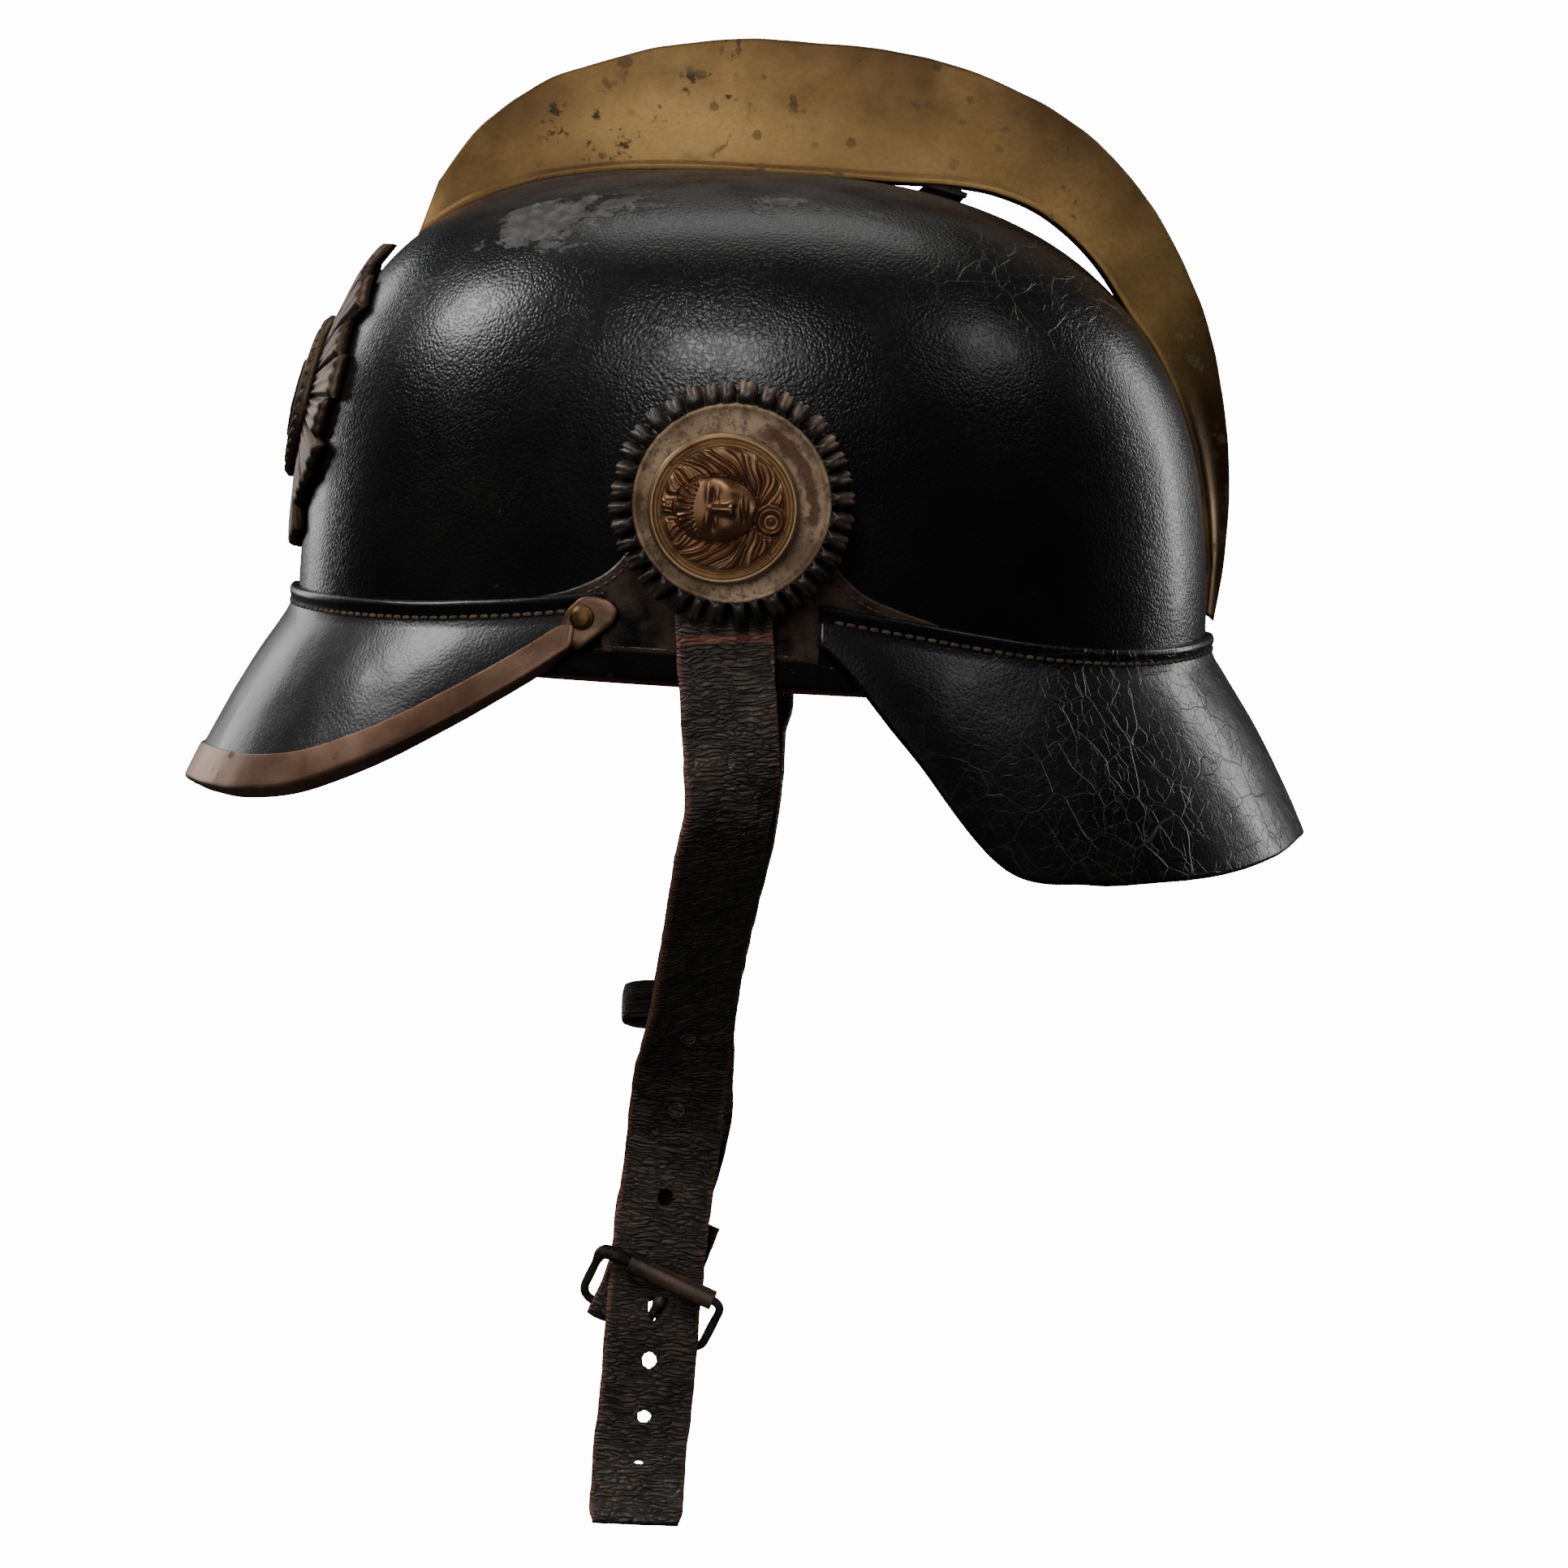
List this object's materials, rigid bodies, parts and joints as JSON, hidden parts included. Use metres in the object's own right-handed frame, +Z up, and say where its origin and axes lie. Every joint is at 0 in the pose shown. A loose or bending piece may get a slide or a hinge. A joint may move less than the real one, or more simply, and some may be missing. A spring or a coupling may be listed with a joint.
{
  "type": "firefighter helmet",
  "caption": "Domed leather helmet with a tall metal comb, trimmed front peak, flared neck guard, side rosettes and a buckled chin strap on pivots.",
  "frame": {"origin": "centre of the head opening, level with the bottom edge of the leather shell", "axes": "+Z up through the crown, -X towards the front of the helmet, -Y towards the wearer's left"},
  "size_m": [0.3041, 0.235, 0.401],
  "materials": {
    "black_leather": "black lacquered leather, fine pebbled grain, craquelure and worn brown edges",
    "crimped_leather": "black crimped leather with brown worn tips",
    "lining_leather": "old tan lining leather",
    "strap_leather": "black-brown strap leather with cross wrinkles and reddish-brown edges",
    "comb_brass": "aged unpolished brass, brown and golden patches, dark spots",
    "trim_brass": "pinkish copper-coloured brass, dull",
    "rosette_brass": "dirty tan brass with specks",
    "medallion_bronze": "brown cast bronze",
    "badge_bronze": "dark stamped bronze",
    "dark_steel": "dark browned steel",
    "cord": "twisted linen cord"
  },
  "bodies": {
    "helmet": {"shell": "black_leather", "rim_binding": "black_leather", "front_peak": "black_leather", "neck_guard": "black_leather", "peak_lining": "lining_leather", "neck_guard_lining": "lining_leather", "peak_trim": "trim_brass", "peak_trim_rivets": "trim_brass", "comb_left": "comb_brass", "comb_right": "comb_brass", "comb_brackets": "dark_steel", "comb_studs": "dark_steel", "comb_washers": "dark_steel", "comb_nuts": "dark_steel", "badge_plate": "badge_bronze", "badge_boss": "badge_bronze", "badge_nuts": "dark_steel", "side_patch_left": "black_leather", "side_patch_right": "black_leather", "rosette_pad_left": "black_leather", "rosette_pad_right": "black_leather", "rosette_ring_left": "crimped_leather", "rosette_ring_right": "crimped_leather", "rosette_disc_left": "rosette_brass", "rosette_disc_right": "rosette_brass", "rosette_posts": "dark_steel", "rosette_washers": "dark_steel", "rosette_nuts": "dark_steel", "sweatband": "lining_leather", "liner": "lining_leather", "drawcord": "cord"},
    "left_medallion": {"medallion_left": "medallion_bronze"},
    "right_medallion": {"medallion_right": "medallion_bronze"},
    "chinstrap": {"strap_left_upper": "strap_leather", "strap_right": "strap_leather", "strap_rivets": "dark_steel", "buckle_frame": "dark_steel"},
    "strap_tail": {"strap_left_tail": "strap_leather"},
    "roller": {"buckle_roller": "dark_steel"},
    "prong": {"buckle_prong": "dark_steel"},
    "keeper": {"keeper_loop": "strap_leather"}
  },
  "joints": [
    {"name": "left_medallion_turn", "type": "hinge", "parent": "helmet", "child": "left_medallion", "pos_m": [-0.008, -0.112, 0.0445], "axis": [0, -1, 0], "continuous": true},
    {"name": "right_medallion_turn", "type": "hinge", "parent": "helmet", "child": "right_medallion", "pos_m": [-0.008, 0.112, 0.0445], "axis": [0, 1, 0], "continuous": true},
    {"name": "strap_swing", "type": "hinge", "parent": "helmet", "child": "chinstrap", "pos_m": [-0.008, 0, 0.0445], "axis": [0, 1, 0], "range_deg": [-14, 24]},
    {"name": "tail_flex", "type": "hinge", "parent": "chinstrap", "child": "strap_tail", "pos_m": [-0.01895, -0.0035, -0.19675], "axis": [0.999, 0, -0.0454], "range_deg": [-45, 40]},
    {"name": "roller_spin", "type": "hinge", "parent": "chinstrap", "child": "roller", "pos_m": [-0.01178, -0.008, -0.16777], "axis": [0.9272, 0, -0.3746], "continuous": true},
    {"name": "prong_pivot", "type": "hinge", "parent": "chinstrap", "child": "prong", "pos_m": [-0.0181, 0.0017, -0.18183], "axis": [0.9272, 0, -0.3746], "range_deg": [-2, 16]},
    {"name": "keeper_slide", "type": "slide", "parent": "chinstrap", "child": "keeper", "axis": [-0.0317, -0.7152, -0.6982], "range_m": [-0.035, 0.016]}
  ]
}
